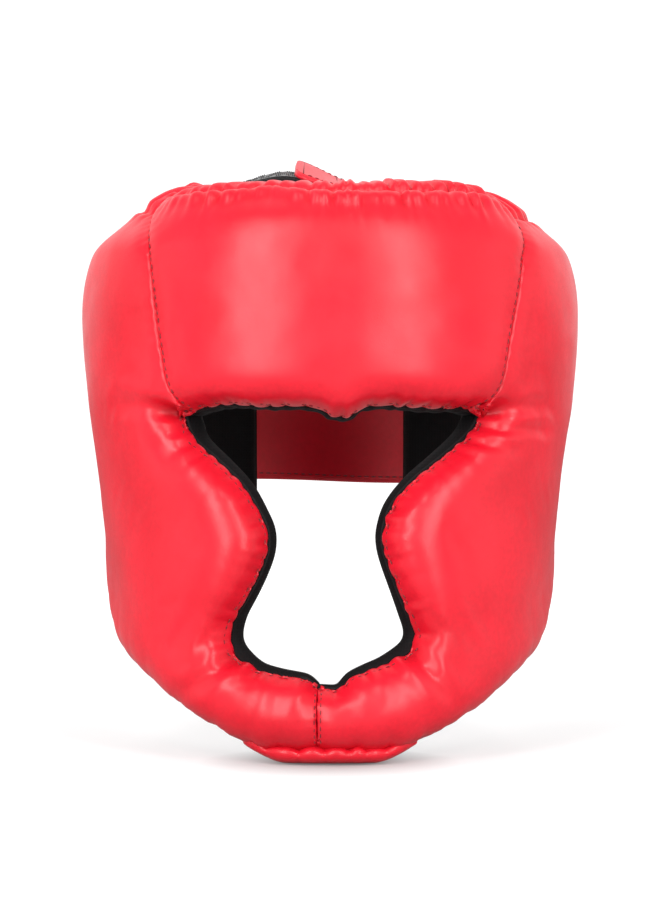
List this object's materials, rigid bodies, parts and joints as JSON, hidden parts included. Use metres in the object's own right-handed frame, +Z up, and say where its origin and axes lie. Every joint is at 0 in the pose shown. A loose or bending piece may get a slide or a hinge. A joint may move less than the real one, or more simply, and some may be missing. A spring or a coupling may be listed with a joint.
{
  "type": "boxing headgear",
  "caption": "Padded full-face boxing headgear with a cut-out for eyes, nose and mouth, ear openings, rear wings closed by a hook-and-loop strap, and a crown strap over a tab.",
  "frame": {"origin": "on the ground, midway between the outermost points in X and in Y", "axes": "+Z up, -Y where the wearer looks, +X on the wearer's left"},
  "size_m": [0.24, 0.2509, 0.2808],
  "materials": {
    "red_leather": "satin",
    "impact_foam": "matte",
    "comfort_foam": "matte",
    "black_lining": "matte",
    "black_binding": "satin",
    "seam_thread": "matte",
    "loop_pile": "matte",
    "hook_tape": "matte"
  },
  "bodies": {
    "face_shell": {"forehead_cover": "red_leather", "forehead_impact_foam": "impact_foam", "forehead_comfort_foam": "comfort_foam", "forehead_lining": "black_lining", "left_side_cover": "red_leather", "left_side_impact_foam": "impact_foam", "left_side_comfort_foam": "comfort_foam", "left_side_lining": "black_lining", "right_side_cover": "red_leather", "right_side_impact_foam": "impact_foam", "right_side_comfort_foam": "comfort_foam", "right_side_lining": "black_lining", "left_temple_seam": "seam_thread", "right_temple_seam": "seam_thread", "left_ear_binding": "black_binding", "right_ear_binding": "black_binding", "chin_seam": "seam_thread", "chin_gusset": "red_leather", "face_opening_binding": "black_binding", "crown_binding": "black_binding", "crown_tab_root": "black_binding", "crown_strap_root": "red_leather"},
    "left_wing": {"left_wing_cover": "red_leather", "left_wing_impact_foam": "impact_foam", "left_wing_comfort_foam": "comfort_foam", "left_wing_lining": "black_lining", "rear_loop_pile": "loop_pile"},
    "right_wing": {"right_wing_cover": "red_leather", "right_wing_impact_foam": "impact_foam", "right_wing_comfort_foam": "comfort_foam", "right_wing_lining": "black_lining", "rear_strap_root": "red_leather"},
    "rear_closure": {"rear_strap": "red_leather", "rear_hook_tape": "hook_tape"},
    "crown_flap": {"crown_strap": "red_leather", "crown_hook_tape": "hook_tape"},
    "crown_tongue": {"crown_tab": "black_binding", "crown_loop_pile": "loop_pile"}
  },
  "joints": [
    {"name": "right_wing_flex", "type": "hinge", "parent": "face_shell", "child": "right_wing", "pos_m": [-0.1112, 0.055, 0.18], "axis": [0, 0, 1], "range_deg": [0, 28]},
    {"name": "left_wing_flex", "type": "hinge", "parent": "face_shell", "child": "left_wing", "pos_m": [0.1112, 0.055, 0.18], "axis": [0, 0, -1], "range_deg": [0, 28]},
    {"name": "rear_strap_peel", "type": "hinge", "parent": "right_wing", "child": "rear_closure", "pos_m": [-0.0723, 0.1085, 0.168], "axis": [0, 0, 1], "range_deg": [0, 110]},
    {"name": "crown_strap_peel", "type": "hinge", "parent": "face_shell", "child": "crown_flap", "pos_m": [0.0623, 0, 0.2735], "axis": [0, 1, 0], "range_deg": [0, 100]},
    {"name": "crown_tab_lift", "type": "hinge", "parent": "face_shell", "child": "crown_tongue", "pos_m": [-0.0623, 0, 0.2682], "axis": [0, -1, 0], "range_deg": [0, 30]}
  ],
  "couplings": [
    {"joint": "right_wing_flex", "follows": "rear_strap_peel", "ratio": 0.25},
    {"joint": "left_wing_flex", "follows": "rear_strap_peel", "ratio": 0.25},
    {"joint": "crown_tab_lift", "follows": "crown_strap_peel", "ratio": 0.3}
  ]
}
